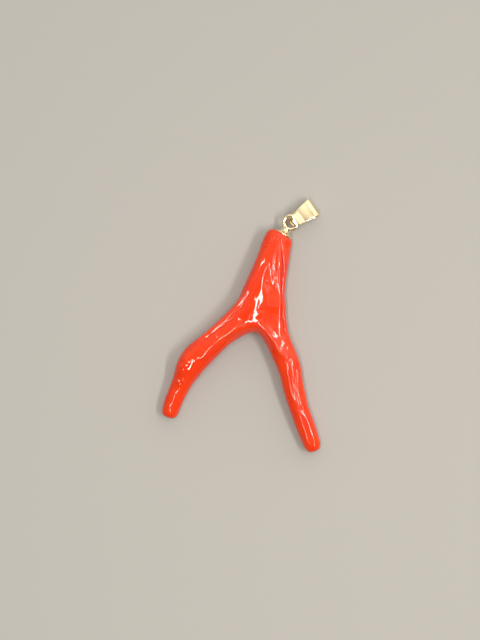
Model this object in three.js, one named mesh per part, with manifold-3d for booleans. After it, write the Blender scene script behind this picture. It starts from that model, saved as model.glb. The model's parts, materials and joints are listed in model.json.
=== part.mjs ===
// A branch of polished red coral worn as a pendant: a stem that forks into two arms, a gold cap glued
// on the stem's end, a ring soldered on the cap, and a tapered gold bail that hangs in the ring.
//
// Millimetres, +Z up. The pendant lies on its back on the plane Z = 0, with +Y towards the ring.
// The origin is on the flat where the stem rests, a little above the fork.

import * as THREE from "three";
import { mergeVertices } from "three/addons/utils/BufferGeometryUtils.js";
import Module from "manifold-3d";

const wasm = await Module();
wasm.setup();

// Driving dimensions of the gold fittings

const CAP_BASE = { x: 4.95, y: 15.6, z: 3.15 }; // centre of the cap's underside
const CAP_TURN = 57.5; // degrees from +X to the cap's axis
const FLANGE_RADIUS = 2.4;
const FLANGE_THICKNESS = 0.4;
const NECK_RADIUS = 1.1;
const FLARE_HEIGHT = 1.5; // cap's underside to the top of its hollow-sided cone
const RING_REACH = 3.8; // cap's underside to the ring's centre
const RING_RADIUS = 1.78; // to the middle of the wire
const WIRE_RADIUS = 0.5;
const BAIL_TURN = 34.5; // degrees from +X to the bail's length
const BAIL_LENGTH = 8.1;
const BAIL_TOP_WIDTH = 5.2;
const BAIL_SHOULDER_WIDTH = 3.0; // where the leaves pass over the ring
const BAIL_TONGUE_WIDTH = 1.9; // where the strip passes through the ring
const BAIL_SHEET = 0.4; // thickness of the gold sheet
const BAIL_TOP_RADIUS = 1.75; // outer radius of the fold that the chain runs in
const BAIL_FOOT_RADIUS = 1.25; // outer radius of the fold in the ring
const BAIL_CROWN = 0.14; // rise of each leaf above the straight line between the folds
const BAIL_FOOT = -0.36; // outside of the foot, from the ring's centre along the bail
const BAIL_WAIST = 0.3; // end of the tongue, on the same line
const BAIL_SHOULDER = 1.0; // start of the tapered leaf, on the same line
const TABLE_GAP = 0.1; // under the bail's top fold
const WIRE_GAP = 0.08; // between the bail's upper leaf and the ring's wire
const SEAM = 0.1; // glue line, solder line and saw cut

// Driving dimensions of the coral
//
// A station is one cross-section: its middle, its half width in the plane of the branch, its half
// depth, and the lift of its underside above the table. A lift below zero is ground off flat.

const REST = -0.08;
const END_SHIFT = 0.5; // the stem's end face reaches this much further left than the cap
const END_FACE = { halfWidth: 2.9, halfDepth: 2.55, lift: 0.6 };
const END_COLLAR = { halfWidth: 3.5, halfDepth: 3.05, lift: 0.12 };
const COLLAR_SETBACK = 0.65; // end face to the collar

const STEM = [
  { x: 3.35, y: 13.2, halfWidth: 3.85, halfDepth: 3.3, lift: REST },
  { x: 2.6, y: 10.1, halfWidth: 4.15, halfDepth: 3.4, lift: REST },
  { x: 1.3, y: 5.4, halfWidth: 4.7, halfDepth: 3.5, lift: REST },
  { x: 0.0, y: 0.8, halfWidth: 5.5, halfDepth: 3.55, lift: REST },
  { x: -0.5, y: -2.4, halfWidth: 6.3, halfDepth: 3.6, lift: REST },
];
const FORK = { x: -2.3, y: -5.2, halfWidth: 8.0, halfDepth: 3.55, lift: REST };
const CROTCH_DROP = 4.5; // the fork's middle down to the top of the arch between the arms

const LEFT_ARM = [
  { x: -10.8, y: -10.1, halfWidth: 3.35, halfDepth: 3.0, lift: 0.25 },
  { x: -13.1, y: -12.2, halfWidth: 3.3, halfDepth: 2.95, lift: 0.45 },
  { x: -15.7, y: -14.5, halfWidth: 3.6, halfDepth: 3.05, lift: 0.5 },
  { x: -18.2, y: -17.0, halfWidth: 3.7, halfDepth: 3.1, lift: 0.45 },
  { x: -20.0, y: -19.9, halfWidth: 3.3, halfDepth: 2.9, lift: 0.3 },
  { x: -21.3, y: -22.7, halfWidth: 2.65, halfDepth: 2.5, lift: 0.2 },
  { x: -22.6, y: -25.4, halfWidth: 2.45, halfDepth: 2.3, lift: 0.05 },
  { x: -23.7, y: -28.0, halfWidth: 2.35, halfDepth: 2.2, lift: REST },
  { x: -24.4, y: -30.1, halfWidth: 2.2, halfDepth: 2.1, lift: REST },
];
const RIGHT_ARM = [
  { x: 3.6, y: -11.8, halfWidth: 3.25, halfDepth: 2.95, lift: 0.25 },
  { x: 4.7, y: -14.4, halfWidth: 3.15, halfDepth: 2.85, lift: 0.4 },
  { x: 5.9, y: -17.2, halfWidth: 3.1, halfDepth: 2.85, lift: 0.5 },
  { x: 6.9, y: -20.3, halfWidth: 2.95, halfDepth: 2.7, lift: 0.55 },
  { x: 7.5, y: -23.5, halfWidth: 2.8, halfDepth: 2.55, lift: 0.5 },
  { x: 8.3, y: -26.6, halfWidth: 2.7, halfDepth: 2.5, lift: 0.4 },
  { x: 9.2, y: -29.7, halfWidth: 2.5, halfDepth: 2.4, lift: 0.3 },
  { x: 10.3, y: -32.8, halfWidth: 2.5, halfDepth: 2.35, lift: 0.15 },
  { x: 11.4, y: -35.7, halfWidth: 2.45, halfDepth: 2.3, lift: REST },
  { x: 12.4, y: -38.5, halfWidth: 2.3, halfDepth: 2.2, lift: REST },
];
const DOME_BLUNTNESS = 0.6; // 1 is a half ellipse, and less is blunter
const LEFT_TIP = 2.0; // length of the rounded end past the last station
const RIGHT_TIP = 2.5;
const LEFT_CUT = { x: -8.8, y: -8.6, turn: 228 }; // saw cut at the fork: middle and arm's direction
const RIGHT_CUT = { x: 2.9, y: -10.2, turn: 283 };
const CUT_WIDTH = 11; // wide enough for one arm, and short of the other

const TABLE_SIZE = 120; // a block under the branch that takes off what is below Z = 0

// Fineness of the facets

const AROUND = 28; // points around a section, a multiple of 4
const STEPS = 3; // rings in each span between two stations
const DOME_STEPS = 4; // rings on a rounded end
const FLARE_STEPS = 6;
const FOLD_STEPS = 12;
const LATHE_SEGMENTS = 36;
const WIRE_SEGMENTS = 12;

const FRONT = AROUND / 4; // index of the point that faces up
const BACK = 3 * FRONT; // index of the point that faces the table

// Solids and meshes

const radians = THREE.MathUtils.degToRad;
const heading = (degrees) =>
  new THREE.Vector3(Math.cos(radians(degrees)), Math.sin(radians(degrees)), 0);

function solidFrom(geometry, matrix = new THREE.Matrix4()) {
  const bare = new THREE.BufferGeometry();
  bare.setAttribute("position", geometry.getAttribute("position").clone());
  if (geometry.index) bare.setIndex(geometry.index.clone());
  const merged = mergeVertices(bare.applyMatrix4(matrix), 1e-4);
  return new wasm.Manifold(
    new wasm.Mesh({
      numProp: 3,
      vertProperties: merged.getAttribute("position").array,
      triVerts: new Uint32Array(merged.index.array),
    }),
  );
}

function geometryFrom(solid) {
  const mesh = solid.getMesh();
  const geometry = new THREE.BufferGeometry();
  geometry.setAttribute("position", new THREE.BufferAttribute(mesh.vertProperties, 3));
  geometry.setIndex(new THREE.BufferAttribute(mesh.triVerts, 1));
  return geometry;
}

// Places that the coral and the fittings share

const capAxis = heading(CAP_TURN);
const capBase = new THREE.Vector3(CAP_BASE.x, CAP_BASE.y, CAP_BASE.z);
const ringCentre = capBase.clone().addScaledVector(capAxis, RING_REACH);

// Coral: sections, smooth lines along them, and the skin

// One ring of points, running right, front, left, back as seen from above with the limb pointing down.
function ringAt(station, direction) {
  const side = new THREE.Vector3(-direction.y, direction.x, 0);
  const middle = new THREE.Vector3(station.x, station.y, station.lift + station.halfDepth);
  return Array.from({ length: AROUND }, (_, i) => {
    const angle = (2 * Math.PI * i) / AROUND;
    const point = middle.clone().addScaledVector(side, station.halfWidth * Math.cos(angle));
    point.z += station.halfDepth * Math.sin(angle);
    return point;
  });
}

function directionAt(stations, k) {
  const from = stations[Math.max(k - 1, 0)];
  const to = stations[Math.min(k + 1, stations.length - 1)];
  return new THREE.Vector3(to.x - from.x, to.y - from.y, 0).normalize();
}

const ringsOf = (stations) => stations.map((s, k) => ringAt(s, directionAt(stations, k)));

// A smooth line through one point of each ring, with STEPS points to a span.
function smoothLine(points) {
  const curve = new THREE.CatmullRomCurve3(points, false, "centripetal");
  return curve.getPoints((points.length - 1) * STEPS);
}

// The arch under the fork, from its front point over the crotch to its back point.
function archOf(fork) {
  const middle = FORK.lift + FORK.halfDepth;
  return fork.map((_, i) => {
    const angle = (2 * Math.PI * i) / AROUND;
    return new THREE.Vector3(
      FORK.x,
      FORK.y - CROTCH_DROP * Math.cos(angle),
      middle + FORK.halfDepth * Math.sin(angle),
    );
  });
}

// Rings that shrink to a blunt round end past the last ring.
function dome(ring, direction, length) {
  const middle = ring[FRONT].clone().lerp(ring[BACK], 0.5);
  const rings = [];
  for (let k = 1; k < DOME_STEPS; k += 1) {
    const angle = (Math.PI / 2) * (k / DOME_STEPS);
    const shift = direction.clone().multiplyScalar(length * Math.sin(angle));
    const share = Math.cos(angle) ** DOME_BLUNTNESS;
    rings.push(ring.map((p) => middle.clone().lerp(p, share).add(shift)));
  }
  return { rings, pole: middle.addScaledVector(direction, length) };
}

// Triangles between rings that follow each other down a limb.
function addSkin(triangles, rings) {
  for (let k = 0; k + 1 < rings.length; k += 1) {
    for (let i = 0; i < AROUND; i += 1) {
      const next = (i + 1) % AROUND;
      const [a, b] = [rings[k][i], rings[k][next]];
      const [d, c] = [rings[k + 1][i], rings[k + 1][next]];
      triangles.push(a, b, c, a, c, d);
    }
  }
}

function addFan(triangles, ring, pole, facesBack) {
  for (let i = 0; i < AROUND; i += 1) {
    const next = (i + 1) % AROUND;
    triangles.push(...(facesBack ? [ring[next], ring[i], pole] : [ring[i], ring[next], pole]));
  }
}

function coralSkin() {
  const end = capBase
    .clone()
    .addScaledVector(heading(CAP_TURN + 90), END_SHIFT)
    .addScaledVector(capAxis, -SEAM);
  const collar = end.clone().addScaledVector(capAxis, -COLLAR_SETBACK);
  const stem = [
    { x: end.x, y: end.y, ...END_FACE },
    { x: collar.x, y: collar.y, ...END_COLLAR },
    ...STEM,
  ];
  const fork = ringAt(FORK, new THREE.Vector3(0, -1, 0));
  const arch = archOf(fork);
  const stemRings = [...ringsOf(stem), fork];
  const leftRings = ringsOf(LEFT_ARM);
  const rightRings = ringsOf(RIGHT_ARM);

  // Lines down the outer flanks, and lines from the left arm under the arch into the right arm.
  const mirrored = (i) => (AROUND + AROUND / 2 - i) % AROUND;
  const lineThrough = (rings, i) => smoothLine(rings.map((ring) => ring[i]));
  const leftLines = fork.map((_, i) => lineThrough([...stemRings, ...leftRings], i));
  const rightLines = fork.map((_, i) => lineThrough([...stemRings, ...rightRings], i));
  const innerLines = fork.map((_, i) =>
    smoothLine([
      ...leftRings.map((ring) => ring[i]).reverse(),
      arch[i],
      ...rightRings.map((ring) => ring[mirrored(i)]),
    ]),
  );

  const onLeft = (i) => i >= FRONT && i <= BACK;
  const onRight = (i) => i <= FRONT || i >= BACK;
  const forkAt = (stemRings.length - 1) * STEPS;
  const archAt = leftRings.length * STEPS;
  const pick = (count, point) =>
    Array.from({ length: count }, (_, k) => fork.map((_unused, i) => point(k, i)));

  const stemSkin = pick(forkAt + 1, (k, i) => {
    if (onLeft(i) && onRight(i)) return leftLines[i][k].clone().lerp(rightLines[i][k], 0.5);
    return onLeft(i) ? leftLines[i][k] : rightLines[i][k];
  });
  const leftSkin = pick(leftRings.length * STEPS + 1, (k, i) =>
    onLeft(i) ? leftLines[i][forkAt + k] : innerLines[i][archAt - k],
  );
  const rightSkin = pick(rightRings.length * STEPS + 1, (k, i) =>
    onRight(i) ? rightLines[i][forkAt + k] : innerLines[mirrored(i)][archAt + k],
  );

  const triangles = [];
  addFan(triangles, stemSkin[0], end.setZ(END_FACE.lift + END_FACE.halfDepth), true);
  addSkin(triangles, stemSkin);
  for (const [skin, stations, length] of [
    [leftSkin, LEFT_ARM, LEFT_TIP],
    [rightSkin, RIGHT_ARM, RIGHT_TIP],
  ]) {
    const last = skin[skin.length - 1];
    const tip = dome(last, directionAt(stations, stations.length - 1), length);
    addSkin(triangles, [...skin, ...tip.rings]);
    addFan(triangles, tip.rings[tip.rings.length - 1], tip.pole, false);
  }
  return new THREE.BufferGeometry().setFromPoints(triangles);
}

// A thin slab across an arm, as wide as a saw cut.
function sawCut(cut) {
  const placed = new THREE.Matrix4()
    .makeRotationZ(radians(cut.turn))
    .setPosition(cut.x, cut.y, FORK.halfDepth);
  return solidFrom(new THREE.BoxGeometry(SEAM, CUT_WIDTH, CUT_WIDTH), placed);
}

function coralSolids() {
  const below = new THREE.Matrix4().makeTranslation(0, 0, -TABLE_SIZE / 2);
  const table = solidFrom(new THREE.BoxGeometry(TABLE_SIZE, TABLE_SIZE, TABLE_SIZE), below);
  const whole = solidFrom(coralSkin()).subtract(table);
  const pieces = whole.subtract(sawCut(LEFT_CUT)).subtract(sawCut(RIGHT_CUT)).decompose();
  const top = (solid) => solid.boundingBox().max[1];
  const left = (solid) => solid.boundingBox().min[0];
  const stem = pieces.reduce((best, s) => (top(s) > top(best) ? s : best));
  const arms = pieces.filter((s) => s !== stem).sort((a, b) => left(a) - left(b));
  return { stem, leftArm: arms[0], rightArm: arms[1] };
}

// Gold fittings

function torus(wireRadius) {
  const geometry = new THREE.TorusGeometry(RING_RADIUS, wireRadius, WIRE_SEGMENTS, LATHE_SEGMENTS);
  return solidFrom(geometry, new THREE.Matrix4().setPosition(ringCentre));
}

// A bell cap: a thin flange, a hollow-sided cone and a neck, saddled to take the ring's wire.
function capSolid() {
  const neckTop = RING_REACH - RING_RADIUS;
  const flare = new THREE.QuadraticBezierCurve(
    new THREE.Vector2(FLANGE_RADIUS, FLANGE_THICKNESS),
    new THREE.Vector2(NECK_RADIUS, FLANGE_THICKNESS),
    new THREE.Vector2(NECK_RADIUS, FLARE_HEIGHT),
  );
  const profile = [
    new THREE.Vector2(0, 0),
    new THREE.Vector2(FLANGE_RADIUS, 0),
    ...flare.getPoints(FLARE_STEPS),
    new THREE.Vector2(NECK_RADIUS, neckTop),
    new THREE.Vector2(0, neckTop),
  ];
  const placed = new THREE.Matrix4()
    .makeRotationFromQuaternion(
      new THREE.Quaternion().setFromUnitVectors(new THREE.Vector3(0, 1, 0), capAxis),
    )
    .setPosition(capBase);
  const body = solidFrom(new THREE.LatheGeometry(profile, LATHE_SEGMENTS), placed);
  return body.subtract(torus(WIRE_RADIUS + SEAM));
}

// The loop seen from its side, offset inwards from the outside of the sheet: two folds joined by
// leaves that are a little crowned.
function loopOutline(path, inset) {
  const foot = BAIL_FOOT_RADIUS - inset;
  const top = BAIL_TOP_RADIUS - inset;
  const footAt = BAIL_FOOT + BAIL_FOOT_RADIUS;
  const topAt = BAIL_FOOT + BAIL_LENGTH - BAIL_TOP_RADIUS;
  const lean = Math.acos((foot - top) / (topAt - footAt));
  const along = (topAt + footAt + (top + foot) * Math.cos(lean)) / 2;
  const across = ((top + foot) * Math.sin(lean)) / 2 + 2 * BAIL_CROWN;
  path.absarc(topAt, 0, top, -lean, lean, false);
  path.quadraticCurveTo(along, across, footAt + foot * Math.cos(lean), foot * Math.sin(lean));
  path.absarc(footAt, 0, foot, lean, 2 * Math.PI - lean, false);
  path.quadraticCurveTo(along, -across, topAt + top * Math.cos(lean), -top * Math.sin(lean));
  path.closePath();
  return path;
}

// The strip seen from the front: wide at the top fold and drawn in to a tongue that fits the ring.
function stripOutline() {
  const half = [
    [BAIL_FOOT, BAIL_TONGUE_WIDTH / 2],
    [BAIL_WAIST, BAIL_TONGUE_WIDTH / 2],
    [BAIL_SHOULDER, BAIL_SHOULDER_WIDTH / 2],
    [BAIL_FOOT + BAIL_LENGTH, BAIL_TOP_WIDTH / 2],
  ].map(([along, across]) => new THREE.Vector2(along, across));
  const mirrored = half.map((p) => new THREE.Vector2(p.x, -p.y)).reverse();
  return new THREE.Shape([...half, ...mirrored]);
}

// The bail leans on the ring's wire and its top fold comes down to the table.
function bailPose() {
  const footAt = BAIL_FOOT + BAIL_FOOT_RADIUS;
  const topAt = BAIL_FOOT + BAIL_LENGTH - BAIL_TOP_RADIUS;
  const share = (RING_RADIUS - footAt) / (topAt - footAt);
  const straight = THREE.MathUtils.lerp(BAIL_FOOT_RADIUS, BAIL_TOP_RADIUS, share) - BAIL_SHEET;
  const crown = 4 * BAIL_CROWN * share * (1 - share);
  const sink = straight + crown - WIRE_RADIUS - WIRE_GAP;
  const drop = ringCentre.z - sink - BAIL_TOP_RADIUS - TABLE_GAP;
  const tilt = Math.asin(drop / (topAt - RING_RADIUS));
  return new THREE.Matrix4()
    .makeTranslation(ringCentre)
    .multiply(new THREE.Matrix4().makeRotationZ(radians(BAIL_TURN)))
    .multiply(new THREE.Matrix4().makeTranslation(RING_RADIUS, 0, -sink))
    .multiply(new THREE.Matrix4().makeRotationY(tilt))
    .multiply(new THREE.Matrix4().makeTranslation(-RING_RADIUS, 0, 0));
}

function bailSolid() {
  const side = loopOutline(new THREE.Shape(), 0);
  side.holes.push(loopOutline(new THREE.Path(), BAIL_SHEET));
  const depth = 2 * BAIL_TOP_WIDTH;
  const loop = new THREE.ExtrudeGeometry(side, {
    depth,
    bevelEnabled: false,
    curveSegments: FOLD_STEPS,
  });
  const upright = new THREE.Matrix4().makeRotationX(Math.PI / 2).setPosition(0, depth / 2, 0);
  const strip = new THREE.ExtrudeGeometry(stripOutline(), { depth, bevelEnabled: false });
  const centred = new THREE.Matrix4().makeTranslation(0, 0, -depth / 2);
  return solidFrom(loop, upright).intersect(solidFrom(strip, centred)).transform(bailPose().toArray());
}

// The pendant

const coralRed = { color: 0xe8321a, roughness: 0.2, metalness: 0 };
const gold = { color: 0xe6c87e, roughness: 0.15, metalness: 1 };

function part(name, solid, look) {
  const mesh = new THREE.Mesh(geometryFrom(solid), new THREE.MeshStandardMaterial(look));
  mesh.name = name;
  return mesh;
}

const coral = coralSolids();
const pendant = new THREE.Group();
pendant.add(
  part("coral_stem", coral.stem, coralRed),
  part("coral_left_arm", coral.leftArm, coralRed),
  part("coral_right_arm", coral.rightArm, coralRed),
  part("cap", capSolid(), gold),
  part("ring", torus(WIRE_RADIUS), gold),
  part("bail", bailSolid(), gold),
);

export default pendant;
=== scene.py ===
# %% [markdown]
# # A branch of red coral, worn as a pendant
#
# The object is a forked branch of polished red coral. A gold bell cap is glued on the end of its stem,
# a ring of round wire is soldered on the cap, and a tapered loop of gold sheet, the bail, hangs in the
# ring. The pendant lies on its back.
#
# The CAD model is the frame: it fixes where each piece is and how large it is. Here each piece is
# modelled again over its CAD node, with the surface that the real one has, and rides on that node's
# body.

# %% Load the frame
import json
import math

import bmesh
import bpy
import numpy as np
from mathutils import Matrix, Vector, noise
from mathutils.kdtree import KDTree


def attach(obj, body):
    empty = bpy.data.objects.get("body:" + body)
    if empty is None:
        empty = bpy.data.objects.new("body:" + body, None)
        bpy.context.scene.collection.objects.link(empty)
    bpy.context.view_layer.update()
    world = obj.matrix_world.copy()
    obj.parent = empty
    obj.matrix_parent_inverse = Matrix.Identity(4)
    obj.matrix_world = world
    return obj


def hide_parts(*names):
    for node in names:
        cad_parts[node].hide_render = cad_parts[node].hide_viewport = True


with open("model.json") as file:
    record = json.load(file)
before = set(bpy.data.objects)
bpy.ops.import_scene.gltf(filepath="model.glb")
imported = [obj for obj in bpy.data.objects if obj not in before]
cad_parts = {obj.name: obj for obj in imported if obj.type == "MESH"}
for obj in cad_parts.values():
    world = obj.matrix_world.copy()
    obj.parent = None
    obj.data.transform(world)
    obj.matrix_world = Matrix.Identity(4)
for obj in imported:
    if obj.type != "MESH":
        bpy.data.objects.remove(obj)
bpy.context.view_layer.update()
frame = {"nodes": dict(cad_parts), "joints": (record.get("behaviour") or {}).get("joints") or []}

MM = 0.001

# %% [markdown]
# ## Camera
#
# The pendant is seen from straight above. One pixel of the 480 by 640 picture is 0.26 mm at the height
# of the ring, and the model's origin is a little right of the picture's middle. A camera that isn't
# turned at all looks down with +Y at the top of the picture, so only its place and its lens have to be
# worked out. A long lens from some distance keeps the limbs' outlines free of perspective, as they look
# on so flat an object.

# %% Place the camera
PICTURE_WIDTH = 480
PICTURE_HEIGHT = 640
PIXEL = 0.26 * MM
ORIGIN_PIXEL = (264.0, 294.9)
CAMERA_DISTANCE = 0.35
CLIP_START = 0.01

ring_centre = Vector(frame["joints"][0]["pos_m"])
bpy.ops.object.select_all(action="DESELECT")
bpy.ops.object.camera_add(
    location=(
        (PICTURE_WIDTH / 2 - ORIGIN_PIXEL[0]) * PIXEL,
        (ORIGIN_PIXEL[1] - PICTURE_HEIGHT / 2) * PIXEL,
        ring_centre.z + CAMERA_DISTANCE,
    )
)
camera = bpy.context.object
camera.name = "camera"
camera.data.lens = camera.data.sensor_width * CAMERA_DISTANCE / (PICTURE_HEIGHT * PIXEL)
camera.data.clip_start = CLIP_START
bpy.context.scene.camera = camera
print("lens", round(camera.data.lens, 1), "mm at", tuple(round(v / MM, 1) for v in camera.location))

# %% [markdown]
# ## Working by hand, in code
#
# Operators act on what is selected and on the active object, so every step starts by choosing one
# piece. In edit mode, faces and points are chosen by where they are. These few helpers do the choosing,
# and the operators in the cells below do the modelling.

# %% Helpers for choosing


def choose(piece):
    """Makes this piece the only selected one, and the active one."""
    bpy.ops.object.select_all(action="DESELECT")
    piece.select_set(True)
    bpy.context.view_layer.objects.active = piece


def choose_points(piece, wanted):
    """In edit mode, selects the points whose place passes the test, and returns how many there are."""
    bpy.ops.mesh.select_mode(type="VERT")
    bpy.ops.mesh.select_all(action="DESELECT")
    mesh = bmesh.from_edit_mesh(piece.data)
    chosen = [v for v in mesh.verts if wanted(v.co)]
    for v in chosen:
        v.select_set(True)
    mesh.select_flush_mode()
    bmesh.update_edit_mesh(piece.data)
    return len(chosen)


def apply_modifier(piece, kind, **settings):
    """Adds one modifier to the chosen piece, sets it and applies it."""
    modifier = piece.modifiers.new(kind.lower(), kind)
    for name, value in settings.items():
        setattr(modifier, name, value)
    bpy.ops.object.modifier_apply(modifier=modifier.name)


def triangles_in(piece):
    """How many triangles the piece has."""
    piece.data.calc_loop_triangles()
    return len(piece.data.loop_triangles)


# %% [markdown]
# ## Coral: one skin
#
# The CAD model parts the branch at its fork, but the real branch grew as one piece. The three CAD
# meshes are copied, joined and swollen a little, so that they overlap at the saw cuts. A voxel remesh
# then wraps them in one even skin of small quads, which is what carving needs, and a smoothing pass
# takes off the CAD model's facets.

# %% Wrap the three limbs in one skin
SWELL = 0.08 * MM  # more than half of a saw cut
MERGE_DISTANCE = 0.002 * MM
VOXEL = 0.18 * MM
SMOOTH_FACTOR = 0.5
SMOOTH_PASSES = 24

bpy.ops.object.select_all(action="DESELECT")
limbs = []
for node in ("coral_stem", "coral_left_arm", "coral_right_arm"):
    limb = bpy.data.objects.new(node + "_copy", frame["nodes"][node].data.copy())
    bpy.context.collection.objects.link(limb)
    limb.select_set(True)
    limbs.append(limb)
bpy.context.view_layer.objects.active = limbs[0]
bpy.ops.object.join()
coral = bpy.context.object
coral.name = "coral"
coral.data.materials.clear()

bpy.ops.object.mode_set(mode="EDIT")
bpy.ops.mesh.select_all(action="SELECT")
bpy.ops.mesh.remove_doubles(threshold=MERGE_DISTANCE)
bpy.ops.transform.shrink_fatten(value=SWELL)
bpy.ops.object.mode_set(mode="OBJECT")
apply_modifier(coral, "REMESH", mode="VOXEL", voxel_size=VOXEL)
apply_modifier(coral, "SMOOTH", factor=SMOOTH_FACTOR, iterations=SMOOTH_PASSES)
bpy.ops.object.mode_set(mode="EDIT")
bpy.ops.mesh.select_all(action="SELECT")
bpy.ops.transform.shrink_fatten(value=-SWELL)
bpy.ops.object.mode_set(mode="OBJECT")
print("coral skin:", len(coral.data.vertices), "points")

# %% [markdown]
# ## Coral: ribs, grooves and knots
#
# A polished branch keeps the relief that it grew with: ribs that run down the stem and part at the
# fork, a deep groove beside the right edge, knots where small twigs were cut off, small pits and
# specks, and a few shallow hollows. Each one is a stroke of a brush here: points in millimetres, seen
# from above, dropped on the skin. A line fades out at both ends, and a dot doesn't fade. The strokes
# are added up, and what goes down is also kept by itself, to paint shade into it as a deeper red.
# Two Displace modifiers then push the skin out and in, by two vertex groups.
#
# Ribs could also be drawn in the material as bump, but then the outline and the highlights of a side
# view would stay smooth.

# %% The strokes
# Each is (height, half width, points), in millimetres.
RIBS_ON_TOP = {
    "left_shoulder": (
        0.36,
        1.8,
        [(0.8, 12.8), (-1.1, 8.0), (-3.4, 3.0), (-5.2, -0.6), (-8.6, -4.8), (-13.0, -8.6)],
    ),
    "right_shoulder": (
        0.5,
        1.7,
        [(4.4, 13.2), (4.3, 8.0), (4.2, 3.0), (4.2, -2.0), (4.3, -6.8), (5.4, -10.5)],
    ),
    "crotch_edge": (
        0.30,
        1.3,
        [(-10.0, -10.4), (-5.6, -8.3), (-2.6, -7.7), (-0.2, -8.5), (2.2, -11.4)],
    ),
    "left_arm_face": (
        0.34,
        1.5,
        [(-3.0, -7.4), (-5.6, -8.2), (-8.4, -9.4), (-11.5, -12.0), (-13.5, -13.7), (-17.4, -17.8)],
    ),
    "right_arm_face": (0.26, 1.2, [(0.6, -9.6), (2.3, -11.6), (3.9, -14.3), (5.0, -17.0)]),
    "left_ridge": (
        0.14,
        0.42,
        [(1.0, 13.2), (0.3, 11.2), (-0.7, 8.6), (-3.1, 3.4), (-4.9, -0.5), (-6.8, -3.2)],
    ),
    "left_arm_ridge": (
        0.32,
        0.5,
        [(-3.9, 1.6), (-4.9, -0.5), (-8.8, -5.5), (-13.4, -8.9), (-18.4, -12.9)],
    ),
    "plateau_foot": (0.13, 1.3, [(-0.9, -4.0), (-1.0, -5.6), (-1.2, -7.6)]),
    "crest": (0.10, 0.7, [(0.7, 8.6), (0.2, 6.4), (-0.5, 4.4), (-0.8, 0.8)]),
    "centre": (0.12, 0.5, [(2.9, 12.6), (2.2, 8.6), (2.2, 6.0), (2.8, 1.0)]),
    "beside_centre": (0.12, 0.45, [(3.9, 12.8), (3.5, 9.0), (3.5, 6.4), (3.9, 2.2)]),
    "groove_lip": (0.12, 0.45, [(3.9, 1.8), (3.9, -2.8), (3.6, -7.4)]),
    "left_arm_middle": (
        0.18,
        0.7,
        [(-7.0, -8.5), (-9.4, -9.9), (-11.3, -11.8), (-13.3, -13.5), (-15.4, -15.7), (-17.2, -17.6)],
    ),
    "left_arm_tip": (0.10, 0.5, [(-22.9, -24.4), (-24.2, -28.6)]),
    "right_arm_inner": (
        0.22,
        0.9,
        [(-2.2, -7.6), (-0.6, -8.4), (0.7, -9.5), (2.1, -11.5), (3.7, -14.2), (4.2, -15.8)],
    ),
    "right_arm_side": (
        0.14,
        0.5,
        [(5.8, -12.2), (6.8, -14.2), (7.8, -15.8), (8.7, -17.6), (8.9, -20.0), (8.9, -23.0)],
    ),
    "right_arm_left_line": (0.12, 0.5, [(5.6, -18.6), (6.4, -22.4), (7.1, -25.4), (7.9, -28.8)]),
    "right_arm_middle": (
        0.2,
        0.75,
        [(8.4, -23.0), (8.5, -24.8), (8.7, -26.1), (9.1, -27.4), (9.7, -29.6)],
    ),
    "right_arm_beside_middle": (0.12, 0.45, [(9.5, -26.4), (10.0, -28.1), (10.5, -30.2)]),
    "right_arm_tip_left": (
        0.12,
        0.8,
        [(8.8, -30.2), (9.8, -32.8), (10.8, -35.5), (11.5, -38.2), (12.1, -40.2)],
    ),
    "right_arm_tip_right": (0.10, 0.7, [(10.5, -30.4), (12.2, -34.5), (12.9, -36.9), (13.3, -39.4)]),
}
GROOVES_ON_TOP = {
    "right_groove": (
        -0.5,
        0.32,
        [(4.4, 15.2), (4.6, 13.0), (4.7, 7.6), (4.5, 1.8), (4.5, -5.3), (5.4, -9.6), (6.8, -12.8)],
    ),
    "between_centres": (-0.12, 0.28, [(3.3, 12.4), (2.8, 8.8), (2.8, 6.2), (3.3, 2.0)]),
    "inside_left_ridge": (
        -0.12,
        0.5,
        [(1.4, 11.8), (0.4, 8.8), (-1.9, 4.0), (-3.7, 0.2), (-7.0, -4.4)],
    ),
    "inside_left_arm_ridge": (-0.26, 0.35, [(-4.3, -1.4), (-8.3, -6.1), (-12.9, -9.5), (-17.6, -13.2)]),
    "right_arm_side": (-0.14, 0.5, [(8.5, -18.2), (8.2, -21.0), (7.9, -24.2), (8.0, -26.6)]),
    "right_arm_knot": (-0.1, 0.6, [(4.0, -16.8), (5.8, -17.4), (7.3, -16.9)]),
    "right_arm_tip": (-0.10, 0.5, [(9.7, -30.8), (11.0, -34.2), (11.8, -36.6), (12.6, -39.2)]),
}
KNOTS_ON_TOP = {
    "fork_right": (0.15, 1.5, [(4.0, -9.6), (4.7, -11.8)]),
    "left_arm_bulge": (0.25, 1.5, [(-20.6, -16.6), (-21.4, -18.6)]),
    "left_arm_knob": (0.30, 0.5, [(-22.3, -22.4), (-21.2, -22.4), (-21.75, -23.2)]),
    "left_arm_tip": (0.14, 0.6, [(-24.6, -28.8)]),
    "right_arm_knot": (0.26, 1.0, [(5.6, -15.9)]),
    "right_arm_knot_foot": (0.22, 0.45, [(4.4, -15.4)]),
    "right_arm_outline": (0.14, 1.3, [(8.6, -17.0)]),
    "right_arm_knob": (0.34, 0.6, [(8.75, -30.4)]),
    "stem": (0.07, 0.5, [(1.0, 3.5)]),
}
SPECKS_ON_TOP = {
    "stem_end": (
        0.16,
        0.42,
        [(0.8, 12.6), (1.2, 13.6), (1.7, 14.4), (2.4, 15.0), (3.2, 15.2), (3.9, 14.6)],
    ),
    "left_bulge": (
        0.13,
        0.45,
        [(-18.6, -14.1), (-19.9, -17.2), (-20.5, -17.9), (-21.2, -18.6), (-21.5, -19.4)],
    ),
    "left_arm": (0.12, 0.45, [(-17.4, -16.6), (-12.4, -10.6), (-10.8, -8.8)]),
    "right_arm": (0.12, 0.42, [(5.3, -11.5), (5.6, -12.5), (6.2, -13.6), (9.1, -23.2), (13.0, -39.4)]),
}
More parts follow.
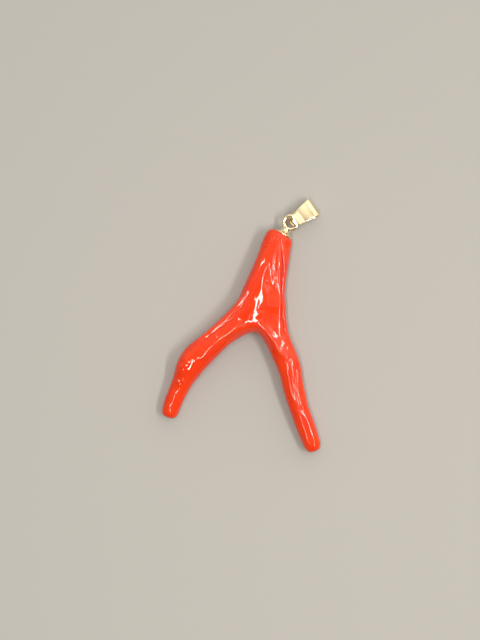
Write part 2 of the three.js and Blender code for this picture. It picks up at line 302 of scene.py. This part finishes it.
PITS_ON_TOP = {
    "fork_left": (-0.20, 1.6, [(-5.9, -6.6)]),
    "plateau": (-0.16, 1.5, [(-1.05, -1.3)]),
    "stem_end": (-0.12, 0.24, [(0.5, 13.2), (1.5, 13.0), (2.2, 14.2), (3.0, 14.5), (3.7, 15.3)]),
    "left_bulge": (-0.12, 0.24, [(-19.2, -14.6), (-19.6, -17.8), (-20.8, -17.2), (-20.6, -19.2)]),
    "fork": (-0.08, 0.3, [(-9.9, -7.6), (-7.6, -6.0), (-8.2, -10.8), (-5.2, -3.6)]),
}
RIBS_UNDERNEATH = {
    "stem_left": (0.24, 0.8, [(0.4, 12.0), (-1.6, 6.4), (-3.8, 0.6), (-7.6, -4.4)]),
    "stem_right": (0.24, 0.8, [(5.2, 11.6), (4.4, 4.6), (4.0, -2.4), (4.6, -9.0)]),
    "left_arm": (0.24, 0.7, [(-10.4, -10.6), (-14.6, -14.2), (-18.6, -19.0), (-21.6, -24.4)]),
    "right_arm": (0.24, 0.7, [(3.4, -12.0), (5.4, -17.0), (6.9, -23.0), (9.0, -30.0), (11.2, -36.0)]),
    "crotch": (0.18, 0.8, [(-6.4, -9.2), (-2.4, -8.4), (1.2, -10.2)]),
}
GROOVES_UNDERNEATH = {
    "stem": (-0.24, 0.5, [(3.6, 13.0), (2.4, 6.6), (1.4, 0.0), (2.0, -6.0)]),
    "left_arm": (-0.18, 0.5, [(-9.0, -8.2), (-13.6, -11.8), (-18.0, -16.2)]),
    "right_arm": (-0.18, 0.5, [(5.6, -14.0), (7.4, -20.4), (8.4, -26.4)]),
}

# %% The brush
STROKE_STEP = 0.25 * MM
FEWEST_STEPS = 8
NARROWEST_WINDOW = 3
FADE = 0.2  # share of a stroke, at each end, over which it fades
REACH = 2.6  # half widths, past which a stroke isn't felt
HIGH_ABOVE = 30 * MM

coral_points = np.array([v.co for v in coral.data.vertices])


def smooth_line(points):
    """The given points as a line of close, evenly spaced ones with rounded corners."""
    places = np.array(points) * MM
    lengths = np.r_[0, np.cumsum(np.linalg.norm(np.diff(places, axis=0), axis=1))]
    steps = np.linspace(0, lengths[-1], max(FEWEST_STEPS, int(lengths[-1] / STROKE_STEP)))
    line = np.stack([np.interp(steps, lengths, places[:, k]) for k in (0, 1)], axis=1)
    window = max(NARROWEST_WINDOW, len(line) // (2 * len(places)))
    padded = np.pad(line, ((window, window), (0, 0)), mode="edge")
    weights = np.hanning(2 * window + 3)[1:-1]  # without the zeros at its ends
    rounded = [np.convolve(padded[:, k], weights / weights.sum(), "valid") for k in (0, 1)]
    return np.stack(rounded, axis=1)


def drop_on_coral(line, from_above):
    """Where each point of a flat line meets the coral, looking straight down or straight up."""
    way = -1 if from_above else 1
    hits = [coral.ray_cast((x, y, -way * HIGH_ABOVE), (0, 0, way)) for x, y in line]
    return [place for found, place, _, _ in hits if found]


def brush(height, half_width, points, from_above, dots=False):
    """How far one stroke moves each point of the coral, in metres."""
    line = np.array(points) * MM if dots else smooth_line(points)
    landed = drop_on_coral(line, from_above)
    tree = KDTree(len(landed))
    for k, place in enumerate(landed):
        tree.insert(place, k)
    tree.balance()
    share = np.linspace(0, 1, len(landed))
    fading = np.clip(np.minimum(share, 1 - share) / FADE, 0, 1)
    strength = np.ones(len(landed)) if dots else fading * fading * (3 - 2 * fading)
    moved = np.zeros(len(coral_points))
    low = np.min(landed, axis=0) - REACH * half_width * MM
    high = np.max(landed, axis=0) + REACH * half_width * MM
    for i in np.flatnonzero(np.all((coral_points > low) & (coral_points < high), axis=1)):
        _, k, distance = tree.find(coral_points[i])
        moved[i] = height * MM * strength[k] * math.exp(-((distance / (half_width * MM)) ** 2))
    return moved


relief = np.zeros(len(coral_points))
# How deep each point sinks is kept apart, so that the material can paint shade into the grooves, pits and
# hollows.
painted_shade_depth = np.zeros(len(coral_points))
for strokes, from_above, dots in (
    (RIBS_ON_TOP, True, False),
    (GROOVES_ON_TOP, True, False),
    (KNOTS_ON_TOP, True, True),
    (SPECKS_ON_TOP, True, True),
    (PITS_ON_TOP, True, True),
    (RIBS_UNDERNEATH, False, False),
    (GROOVES_UNDERNEATH, False, False),
):
    for height, half_width, points in strokes.values():
        moved = brush(height, half_width, points, from_above, dots)
        relief += moved
        painted_shade_depth += moved.clip(max=0)
print("relief from", round(relief.min() / MM, 2), "to", round(relief.max() / MM, 2), "mm")

# %% [markdown]
# ## Coral: the grain
#
# Coral grows along its limbs, so its fine relief and its streaks of colour are long and narrow and run
# down each limb. A texture in plain object coordinates can't follow a fork. Instead each point gets a
# grain coordinate: its place, squeezed along the direction of its own limb. Noise read at that
# coordinate is stretched along the limb. The direction is blended from the three limbs by how near each
# one is, and places are counted from the fork, where the limbs meet, so the grain has no seam.

# %% Find the grain
FORK = Vector((-2.0, -5.5, 3.5)) * MM
LIMB_ENDS = {
    "stem": Vector((4.5, 16.0, 3.2)) * MM,
    "left_arm": Vector((-24.5, -31.0, 2.2)) * MM,
    "right_arm": Vector((12.6, -40.0, 2.2)) * MM,
}
LIMB_BLEND = 4 * MM  # distance over which one limb's direction takes over from another's
GRAIN_STRETCH = 10.0

from_fork = coral_points - np.array(FORK)
pull = []
directions = []
for end in LIMB_ENDS.values():
    along = np.array((end - FORK).normalized())
    reach = np.clip(from_fork @ along, 0, None)
    off_line = np.linalg.norm(from_fork - reach[:, None] * along, axis=1)
    pull.append(np.exp(-off_line / LIMB_BLEND))
    directions.append(along)
pull = np.array(pull) / np.sum(pull, axis=0)
# Directions run out from the fork, so the arms' are turned round to run on from the stem's.
signs = np.array([1.0, -1.0, -1.0])
flow = np.einsum("ln,l,lc->nc", pull, signs, np.array(directions))
flow /= np.linalg.norm(flow, axis=1)[:, None]
lengthwise = np.sum(from_fork * flow, axis=1)
grain = from_fork - flow * (lengthwise * (1 - 1 / GRAIN_STRETCH))[:, None]

RIPPLE_WIDTH = 1.3 * MM
RIPPLE_HEIGHT = 0.04 * MM
LUMP_WIDTH = 5.0 * MM
LUMP_HEIGHT = 0.04 * MM
for i, (place, stretched) in enumerate(zip(coral_points, grain)):
    relief[i] += RIPPLE_HEIGHT * noise.noise(Vector(stretched) / RIPPLE_WIDTH)
    relief[i] += LUMP_HEIGHT * noise.noise(Vector(place) / LUMP_WIDTH)

# %% Push the skin out and in
LAST_SMOOTH_PASSES = 2

choose(coral)
for name, amounts, way in (("raised", relief.clip(min=0), 1), ("sunk", -relief.clip(max=0), -1)):
    group = coral.vertex_groups.new(name=name)
    for i in np.flatnonzero(amounts):
        group.add([int(i)], amounts[i] / amounts.max(), "REPLACE")
    apply_modifier(coral, "DISPLACE", vertex_group=name, mid_level=0.0, strength=way * amounts.max())
coral.vertex_groups.clear()
apply_modifier(coral, "SMOOTH", factor=SMOOTH_FACTOR, iterations=LAST_SMOOTH_PASSES)

# The underside is ground flat where it rests.
bpy.ops.object.mode_set(mode="EDIT")
ground = choose_points(coral, lambda place: place.z < 0)
bpy.ops.transform.resize(value=(1, 1, 0), center_override=(0, 0, 0))
bpy.ops.object.mode_set(mode="OBJECT")
bpy.ops.object.shade_smooth()

grain_attribute = coral.data.attributes.new("grain", "FLOAT_VECTOR", "POINT")
grain_attribute.data.foreach_set("vector", grain.astype(np.float32).ravel())
# The sunk depth goes on the points, for the material's painted shade in the grooves, pits and hollows.
painted_shade_attribute = coral.data.attributes.new("painted_shade", "FLOAT", "POINT")
painted_shade_attribute.data.foreach_set("value", (-painted_shade_depth / MM).astype(np.float32))
print("coral:", triangles_in(coral), "triangles,", ground, "points on the flats")

# %% [markdown]
# ## Gold bell cap
#
# The cap is a turned piece: a thin flange that covers the end of the stem, a hollow-sided cone and a
# neck. It is a disc here, pushed up ring by ring, as on a lathe: extrude, then scale to the next
# radius. Its edges are bevelled, because a real edge is never sharp and catches a line of light. It is
# modelled upright and then turned to its place.

# %% Turn the cap
CAP_TURN = math.radians(57.5)  # from +X to the cap's axis
CAP_REACH = 3.8 * MM  # cap's underside to the ring's centre
CAP_SINK = 0.12 * MM  # the flange beds in the glue
ROUND = 72
CAP_BEVEL = 0.05 * MM
BEVEL_ANGLE = math.radians(40)  # sharper edges are bevelled
CAP_SHARP = math.radians(50)  # sharper edges aren't shaded smooth
CAP_RINGS = [  # height and radius, in mm, up the outside
    (0.0, 2.3),
    (0.12, 2.42),
    (0.36, 2.42),
    (0.46, 2.32),
    (0.62, 2.04),
    (0.85, 1.74),
    (1.12, 1.46),
    (1.42, 1.24),
    (1.72, 1.14),
    (2.0, 1.16),
    (2.2, 1.2),
]

cap_axis = Vector((math.cos(CAP_TURN), math.sin(CAP_TURN), 0))
cap_base = ring_centre - cap_axis * (CAP_REACH + CAP_SINK)

bpy.ops.object.select_all(action="DESELECT")
bpy.ops.mesh.primitive_circle_add(vertices=ROUND, radius=CAP_RINGS[0][1] * MM, fill_type="NGON")
cap = bpy.context.object
cap.name = "bell_cap"
bpy.ops.object.mode_set(mode="EDIT")
bpy.ops.mesh.select_all(action="SELECT")
for (height, radius), (next_height, next_radius) in zip(CAP_RINGS, CAP_RINGS[1:]):
    rise = (0, 0, (next_height - height) * MM)
    bpy.ops.mesh.extrude_region_move(TRANSFORM_OT_translate={"value": rise})
    widen = next_radius / radius
    bpy.ops.transform.resize(value=(widen, widen, 1), center_override=(0, 0, next_height * MM))
bpy.ops.mesh.select_all(action="SELECT")
bpy.ops.mesh.normals_make_consistent(inside=False)
bpy.ops.object.mode_set(mode="OBJECT")
apply_modifier(
    cap,
    "BEVEL",
    width=CAP_BEVEL,
    segments=2,
    limit_method="ANGLE",
    angle_limit=BEVEL_ANGLE,
)
cap.matrix_world = Matrix.Translation(cap_base) @ cap_axis.to_track_quat("Z", "Y").to_matrix().to_4x4()
bpy.ops.object.transform_apply()
bpy.ops.object.shade_smooth_by_angle(angle=CAP_SHARP)
print("cap:", triangles_in(cap), "triangles")

# %% [markdown]
# ## Gold ring
#
# The ring is round wire, closed, with its joint soldered down on the neck. A torus has the right form,
# and the solder is a slight swelling of the wire towards the neck, pulled out with proportional
# editing.

# %% Bend the ring
RING_RADIUS = 1.78 * MM
WIRE_RADIUS = 0.5 * MM
RING_SEGMENTS = 96
WIRE_SEGMENTS = 28
SOLDER_PULL = 0.16 * MM
SOLDER_REACH = 1.1 * MM

bpy.ops.object.select_all(action="DESELECT")
bpy.ops.mesh.primitive_torus_add(
    major_radius=RING_RADIUS,
    minor_radius=WIRE_RADIUS,
    major_segments=RING_SEGMENTS,
    minor_segments=WIRE_SEGMENTS,
    location=ring_centre,
)
ring = bpy.context.object
ring.name = "soldered_ring"
bpy.ops.object.transform_apply()
joint = ring_centre - cap_axis * (RING_RADIUS + WIRE_RADIUS)
bpy.ops.object.mode_set(mode="EDIT")
choose_points(ring, lambda place: (place - joint).length < WIRE_RADIUS)
bpy.ops.transform.translate(
    value=-cap_axis * SOLDER_PULL,
    use_proportional_edit=True,
    proportional_edit_falloff="SMOOTH",
    proportional_size=SOLDER_REACH,
)
bpy.ops.object.mode_set(mode="OBJECT")
bpy.ops.object.shade_smooth()
print("ring:", triangles_in(ring), "triangles")

# %% [markdown]
# ## Gold bail
#
# The bail is a strip of gold sheet, wide at the top and narrow at the foot, folded into a loop that
# goes through the ring. A circle on edge is pulled out into the loop's side view, extruded across, and
# each cross line is then scaled to the strip's width at that place. Solidify gives the sheet its
# thickness and Bevel its soft edges.

# %% Fold the bail
BAIL_TURN = math.radians(34.5)  # from +X to the bail's length
BAIL_TILT = math.radians(11.8)  # the top fold comes down to the table
BAIL_SINK = 0.438 * MM
SHEET = 0.4 * MM
FOOT_AT = 0.89 * MM  # centres of the two folds, from the ring's centre along the bail
TOP_AT = 5.99 * MM
FOOT_RADIUS = 1.25 * MM - SHEET / 2  # to the middle of the sheet
TOP_RADIUS = 1.75 * MM - SHEET / 2
LOOP_POINTS = 62
CROWN = 0.14 * MM
TONGUE_WIDTH = 2.1 * MM
SHOULDER_WIDTH = 3.2 * MM
TOP_WIDTH = 5.2 * MM
WAIST_AT = 0.64 * MM
SHOULDER_AT = 0.78 * MM
BAIL_END = 7.74 * MM


def strip_width(along):
    """The strip's width at a distance along the bail."""
    return float(np.interp(
        along,
        (WAIST_AT, SHOULDER_AT, BAIL_END),
        (TONGUE_WIDTH, SHOULDER_WIDTH, TOP_WIDTH),
    ))


bpy.ops.object.select_all(action="DESELECT")
bpy.ops.mesh.primitive_circle_add(
    vertices=LOOP_POINTS,
    radius=FOOT_RADIUS,
    location=(FOOT_AT, 0, 0),
    rotation=(math.pi / 2, 0, 0),
)
bail = bpy.context.object
bail.name = "tapered_bail"
bpy.ops.object.transform_apply()
bpy.ops.object.mode_set(mode="EDIT")
choose_points(bail, lambda place: place.x > FOOT_AT)
bpy.ops.transform.translate(value=(TOP_AT - FOOT_AT, 0, 0))
swell = TOP_RADIUS / FOOT_RADIUS
bpy.ops.transform.resize(value=(swell, 1, swell), center_override=(TOP_AT, 0, 0))

# The two long edges are the leaves. They are cut into short ones, and their middles are lifted to a
# slight crown.
LEAF_CUTS = 15
FOLD_END = 0.13 * MM  # the folds' first points lie within this of the leaves' ends
MIDDLE_REACH = 0.2 * MM
for side in (1, -1):
    ends = (FOOT_AT - FOLD_END, TOP_AT + FOLD_END)
    choose_points(bail, lambda place: ends[0] < place.x < ends[1] and place.z * side > 0)
    bpy.ops.mesh.subdivide(number_cuts=LEAF_CUTS)
    middle = (FOOT_AT + TOP_AT) / 2
    choose_points(bail, lambda place: abs(place.x - middle) < MIDDLE_REACH and place.z * side > 0)
    bpy.ops.transform.translate(
        value=(0, 0, side * CROWN),
        use_proportional_edit=True,
        use_proportional_connected=True,
        proportional_edit_falloff="SMOOTH",
        proportional_size=(TOP_AT - FOOT_AT) / 2,
    )

# The strip starts with one even width, and then each cross line is scaled to the strip's width there.
START_WIDTH = 1 * MM
DECIMALS = 7  # of a metre, enough to tell the cross lines apart
SAME_LINE = 0.0002 * MM
bpy.ops.mesh.select_all(action="SELECT")
bpy.ops.transform.translate(value=(0, -START_WIDTH / 2, 0))
bpy.ops.mesh.extrude_region_move(TRANSFORM_OT_translate={"value": (0, START_WIDTH, 0)})
for along in sorted({round(v.co.x, DECIMALS) for v in bmesh.from_edit_mesh(bail.data).verts}):
    choose_points(bail, lambda place: abs(place.x - along) < SAME_LINE)
    widen = strip_width(along) / START_WIDTH
    bpy.ops.transform.resize(value=(1, widen, 1), center_override=(along, 0, 0))
bpy.ops.mesh.select_all(action="SELECT")
bpy.ops.mesh.normals_make_consistent(inside=False)
bpy.ops.object.mode_set(mode="OBJECT")

# %% Give the bail its thickness and put it in the ring
BAIL_BEVEL = 0.07 * MM
BAIL_SHARP = math.radians(35)  # sharper edges aren't shaded smooth

apply_modifier(bail, "SOLIDIFY", thickness=SHEET, offset=0.0, use_even_offset=True)
apply_modifier(
    bail,
    "BEVEL",
    width=BAIL_BEVEL,
    segments=3,
    limit_method="ANGLE",
    angle_limit=BEVEL_ANGLE,
)
bail.matrix_world = (
    Matrix.Translation(ring_centre)
    @ Matrix.Rotation(BAIL_TURN, 4, "Z")
    @ Matrix.Translation((RING_RADIUS, 0, -BAIL_SINK))
    @ Matrix.Rotation(BAIL_TILT, 4, "Y")
    @ Matrix.Translation((-RING_RADIUS, 0, 0))
)
bpy.ops.object.transform_apply()
bpy.ops.object.shade_smooth_by_angle(angle=BAIL_SHARP)
print("bail:", triangles_in(bail), "triangles")

# %% [markdown]
# ## Materials
#
# Colours are written as sRGB hex values and turned to linear once, here. One helper adds a node, sets
# its properties and links or fills its sockets.

# %% Material tools


def srgb(code):
    """A hex colour as linear RGBA."""
    parts = [int(code[k : k + 2], 16) / 255 for k in (1, 3, 5)]
    linear = [c / 12.92 if c <= 0.04045 else ((c + 0.055) / 1.055) ** 2.4 for c in parts]
    return (*linear, 1.0)


def add_node(tree, kind, settings, inputs):
    """Adds a node with these properties, and with values or other nodes' outputs on its sockets."""
    node = tree.nodes.new(kind)
    for name, value in settings.items():
        setattr(node, name, value)
    for socket, value in inputs.items():
        if isinstance(value, bpy.types.NodeSocket):
            tree.links.new(value, node.inputs[socket])
        else:
            node.inputs[socket].default_value = value
    return node


def new_material(name):
    """An empty material, its tree, and its output node."""
    material = bpy.data.materials.new(name)
    material.use_nodes = True
    tree = material.node_tree
    tree.nodes.clear()
    return material, tree, tree.nodes.new("ShaderNodeOutputMaterial")


COLOUR_A, COLOUR_B, COLOUR_OUT = 6, 7, 2  # a Mix node's colour sockets

# %% [markdown]
# ## Polished red coral
#
# Red coral is calcium carbonate coloured by the animal itself. It is polished like a stone, so it has a
# hard clear gloss over a saturated, slightly translucent body colour. Its colour changes slowly from
# place to place and has faint streaks along the grain. Shade is painted into the grooves as a deeper red.

# %% Polished red coral


def polished_coral():
    """Calcium carbonate of index about 1.5, buffed to a bright gloss on a deep orange red."""
    material, tree, output = new_material("polished_red_coral")
    place = add_node(tree, "ShaderNodeTexCoord", {}, {})
    grain = add_node(tree, "ShaderNodeAttribute", {"attribute_name": "grain"}, {})
    painted_shade = add_node(tree, "ShaderNodeAttribute", {"attribute_name": "painted_shade"}, {})
    patch_size = 7 * MM
    streak_width = 0.9 * MM
    polish_size = 2.5 * MM
    line_width = 0.35 * MM
    patches = add_node(
        tree,
        "ShaderNodeTexNoise",
        {},
        {"Vector": place.outputs["Object"], "Scale": 1 / patch_size, "Detail": 3.0},
    )
    streaks = add_node(
        tree,
        "ShaderNodeTexNoise",
        {},
        {"Vector": grain.outputs["Vector"], "Scale": 1 / streak_width, "Detail": 4.0},
    )
    body = add_node(
        tree,
        "ShaderNodeMix",
        {"data_type": "RGBA"},
        {"Factor": patches.outputs["Fac"], COLOUR_A: srgb("#E03008"), COLOUR_B: srgb("#EA420E")},
    )
    streak_amount = add_node(
        tree,
        "ShaderNodeMapRange",
        {},
        {"Value": streaks.outputs["Fac"], "From Min": 0.45, "From Max": 0.75, "To Max": 0.45},
    )
    streaked = add_node(
        tree,
        "ShaderNodeMix",
        {"data_type": "RGBA"},
        {
            "Factor": streak_amount.outputs["Result"],
            COLOUR_A: body.outputs[COLOUR_OUT],
            COLOUR_B: srgb("#D92406"),
        },
    )
    # Painted shade: the deeper a point sank, the more its colour goes to a dark red.
    painted_shade_amount = add_node(
        tree,
        "ShaderNodeMapRange",
        {},
        {"Value": painted_shade.outputs["Fac"], "From Min": 0.18, "From Max": 0.38, "To Max": 0.8},
    )
    with_painted_shade = add_node(
        tree,
        "ShaderNodeMix",
        {"data_type": "RGBA"},
        {
            "Factor": painted_shade_amount.outputs["Result"],
            COLOUR_A: streaked.outputs[COLOUR_OUT],
            COLOUR_B: srgb("#BC1402"),
        },
    )
    polish = add_node(
        tree,
        "ShaderNodeTexNoise",
        {},
        {"Vector": place.outputs["Object"], "Scale": 1 / polish_size, "Detail": 3.0},
    )
    roughness = add_node(
        tree,
        "ShaderNodeMapRange",
        {},
        {"Value": polish.outputs["Fac"], "From Min": 0.3, "From Max": 0.7, "To Min": 0.05, "To Max": 0.09},
    )
    lines = add_node(
        tree,
        "ShaderNodeTexNoise",
        {},
        {"Vector": grain.outputs["Vector"], "Scale": 1 / line_width, "Detail": 2.0},
    )
    bump = add_node(
        tree,
        "ShaderNodeBump",
        {},
        {"Strength": 0.3, "Distance": 0.02 * MM, "Height": lines.outputs["Fac"]},
    )
    surface = add_node(
        tree,
        "ShaderNodeBsdfPrincipled",
        {},
        {
            "Base Color": with_painted_shade.outputs[COLOUR_OUT],
            "Roughness": roughness.outputs["Result"],
            "Normal": bump.outputs["Normal"],
            "IOR": 1.52,
            "Subsurface Weight": 0.12,
            "Subsurface Radius": (1.0, 0.15, 0.08),
            "Subsurface Scale": 0.6 * MM,
        },
    )
    tree.links.new(surface.outputs["BSDF"], output.inputs["Surface"])
    return material


# %% [markdown]
# ## Polished yellow gold
#
# Jeweller's gold of medium carat is paler than pure gold. It is polished on a soft wheel, which leaves
# a mirror with very fine scratches and a slightly uneven gloss. Its colour comes from what it reflects,
# so the lights matter as much as the material.

# %% Polished yellow gold


def polished_gold():
    """Medium carat gold off a polishing wheel: a pale yellow mirror with hair-fine scratches."""
    material, tree, output = new_material("polished_yellow_gold")
    place = add_node(tree, "ShaderNodeTexCoord", {}, {})
    tarnish_size = 1.6 * MM
    scratch_width = 0.08 * MM
    scratch_stretch = 0.06
    tone = add_node(
        tree,
        "ShaderNodeTexNoise",
        {},
        {"Vector": place.outputs["Object"], "Scale": 1 / tarnish_size, "Detail": 3.0},
    )
    colour = add_node(
        tree,
        "ShaderNodeMix",
        {"data_type": "RGBA"},
        {"Factor": tone.outputs["Fac"], COLOUR_A: srgb("#F7E0AE"), COLOUR_B: srgb("#FCEFD2")},
    )
    roughness = add_node(
        tree,
        "ShaderNodeMapRange",
        {},
        {"Value": tone.outputs["Fac"], "From Min": 0.3, "From Max": 0.7, "To Min": 0.07, "To Max": 0.13},
    )
    along_wheel = add_node(
        tree,
        "ShaderNodeMapping",
        {},
        {
            "Vector": place.outputs["Object"],
            "Rotation": (0, 0, -BAIL_TURN),
            "Scale": (scratch_stretch, 1, 1),
        },
    )
    scratches = add_node(
        tree,
        "ShaderNodeTexNoise",
        {},
        {"Vector": along_wheel.outputs["Vector"], "Scale": 1 / scratch_width, "Detail": 2.0},
    )
    bump = add_node(
        tree,
        "ShaderNodeBump",
        {},
        {"Strength": 0.25, "Distance": 0.004 * MM, "Height": scratches.outputs["Fac"]},
    )
    surface = add_node(
        tree,
        "ShaderNodeBsdfPrincipled",
        {},
        {
            "Base Color": colour.outputs[COLOUR_OUT],
            "Metallic": 1.0,
            "Roughness": roughness.outputs["Result"],
            "Normal": bump.outputs["Normal"],
        },
    )
    tree.links.new(surface.outputs["BSDF"], output.inputs["Surface"])
    return material


# %% [markdown]
# ## Pieces on the frame
#
# Each finished piece takes its material, hides the CAD nodes that it stands for, and rides on their
# body. The bail is a body of its own, because it swings in the ring.

# %% Join the pieces to the frame
coral_red = polished_coral()
gold = polished_gold()
for piece, finish, slot, body, nodes in (
    (coral, coral_red, "coral", "pendant", ("coral_stem", "coral_left_arm", "coral_right_arm")),
    (cap, gold, "gold", "pendant", ("cap",)),
    (ring, gold, "gold", "pendant", ("ring",)),
    (bail, gold, "gold", "bail", ("bail",)),
):
    piece.data.materials.clear()
    piece.data.materials.append(finish)
    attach(piece, body)
    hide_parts(*nodes)
    print(piece.name, "rides on", body, "for", nodes)

# %% [markdown]
# ## Floor and light
#
# The pendant lies on a plain pale floor. A polished surface shows the lights themselves, so they are
# chosen by what they draw on it. Two long bright tubes, left and right of the camera, draw the thin
# streaks along the ribs. Two dim strips only show on the gold, as bands on the bail. The rest of the
# room is dim, with three broad soft glows that brighten the gold and leave no hard-edged patches on the
# coral.

# %% The floor
FLOOR_SIZE = 6.0
bpy.ops.object.select_all(action="DESELECT")
bpy.ops.mesh.primitive_plane_add(size=FLOOR_SIZE)
floor = bpy.context.object
floor.name = "floor"
paper, tree, output = new_material("pale_matt_paper")
surface = add_node(tree, "ShaderNodeBsdfPrincipled", {}, {"Base Color": srgb("#A9AAAB"), "Roughness": 0.9})
tree.links.new(surface.outputs["BSDF"], output.inputs["Surface"])
floor.data.materials.append(paper)

# %% The lights
# Each is (turn of its length from +Y, lean across its length, lean along its length, width, length,
# watts), with angles in degrees and sizes in metres. Every light faces the model's origin.
LIGHT_DISTANCE = 0.6
WARM_WHITE = srgb("#FFF6E8")
LIGHTS = {
    "left_tube": (0, -8, -6, 0.032, 0.46, 1.75),
    "right_tube": (0, 32, -8, 0.016, 0.30, 1.6),
    "inner_strip": (34.5, 9.2, 0, 0.031, 0.30, 0.045),
    "outer_strip": (34.5, 29.6, 0, 0.031, 0.30, 0.045),
}
for name, (turn, lean_across, lean_along, width, length, watts) in LIGHTS.items():
    turned = Matrix.Rotation(math.radians(turn), 4, "Z")
    across = Matrix.Rotation(math.radians(lean_across), 4, "Y")
    lengthways = Matrix.Rotation(math.radians(-lean_along), 4, "X")
    bpy.ops.object.light_add(type="AREA")
    light = bpy.context.object
    light.name = name
    light.matrix_world = turned @ (across @ lengthways) @ Matrix.Translation((0, 0, LIGHT_DISTANCE))
    light.data.shape = "RECTANGLE"
    light.data.size = width
    light.data.size_y = length
    light.data.energy = watts
    light.data.color = WARM_WHITE[:3]

# %% The room
# Each glow is a broad bright part of the room: the direction of its middle, how many degrees it
# reaches, and its strength.
DIM_ROOM = 0.22
GLOWS = {
    "above_bail": ((0.335, 0.23, 0.914), 32, 0.38),
    "upper_right": ((0.5, 0.75, 0.42), 60, 1.25),
    "upper_left": ((-0.6, 0.65, 0.5), 50, 0.5),
}
world = bpy.data.worlds.new("soft_room")
world.use_nodes = True
tree = world.node_tree
tree.nodes.clear()
direction = add_node(tree, "ShaderNodeTexCoord", {}, {})
brightness = DIM_ROOM
for middle, reach, strength in GLOWS.values():
    nearness = add_node(
        tree,
        "ShaderNodeVectorMath",
        {"operation": "DOT_PRODUCT"},
        {0: direction.outputs["Generated"], 1: Vector(middle).normalized()},
    )
    glow = add_node(
        tree,
        "ShaderNodeMapRange",
        {"interpolation_type": "SMOOTHSTEP"},
        {"Value": nearness.outputs["Value"], "From Min": math.cos(math.radians(reach)), "To Max": strength},
    )
    total = add_node(
        tree,
        "ShaderNodeMath",
        {"operation": "ADD"},
        {0: brightness, 1: glow.outputs["Result"]},
    )
    brightness = total.outputs["Value"]
background = add_node(
    tree,
    "ShaderNodeBackground",
    {},
    {"Color": WARM_WHITE, "Strength": brightness},
)
add_node(tree, "ShaderNodeOutputWorld", {}, {"Surface": background.outputs["Background"]})
bpy.context.scene.world = world
bpy.context.scene.view_settings.view_transform = "Standard"
